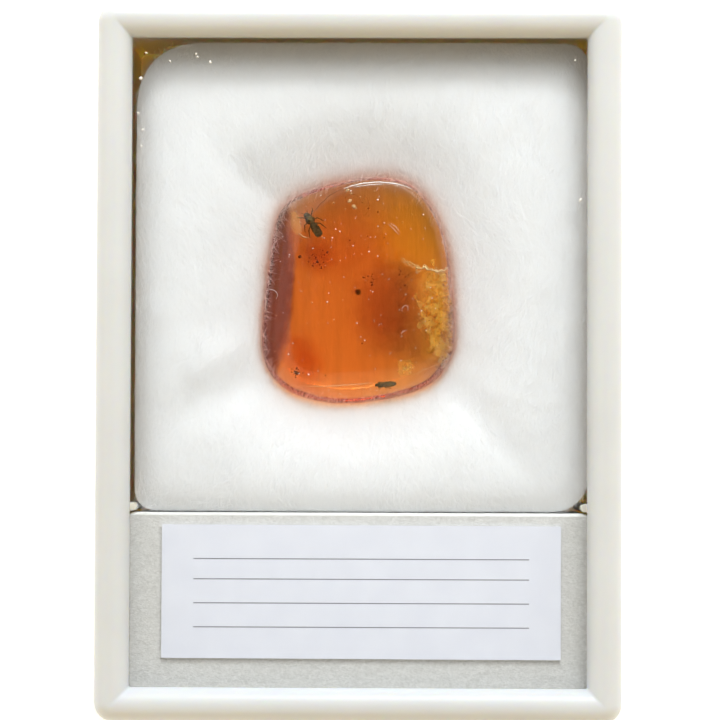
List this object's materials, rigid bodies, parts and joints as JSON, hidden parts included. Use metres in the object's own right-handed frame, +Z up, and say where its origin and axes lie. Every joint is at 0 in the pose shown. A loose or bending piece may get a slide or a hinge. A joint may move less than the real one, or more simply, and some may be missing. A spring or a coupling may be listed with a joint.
{
  "type": "boxed amber specimen with insect inclusions",
  "caption": "Polished amber with sealed insects, bedded on fibre wadding in a lidded plastic display box with a clear window and a card ledge.",
  "frame": {"origin": "centre of the tray's flat underside, below the centre of the closed box", "axes": "+Z up through the window, +Y along the box's length from the card ledge towards the amber, +X to the right when the card is read"},
  "size_m": [0.07, 0.0958, 0.028],
  "materials": {
    "ivory_plastic": "satin moulded",
    "grained_plastic": "fine leather grain",
    "clear_pane": "polished clear plastic",
    "card_paper": "smooth white card",
    "amber": "polished, see-through",
    "wadding_fibre": "soft white fibre",
    "insect_chitin": "dark, slightly shiny"
  },
  "bodies": {
    "root": {"tray": "ivory_plastic", "lid_frame": "ivory_plastic", "window_pane": "clear_pane", "label_ledge": "grained_plastic", "label_card": "card_paper", "wadding": "wadding_fibre", "amber_lower_half": "amber", "amber_upper_half": "amber", "insect_gnat": "insect_chitin", "insect_midge": "insect_chitin"}
  },
  "joints": []
}
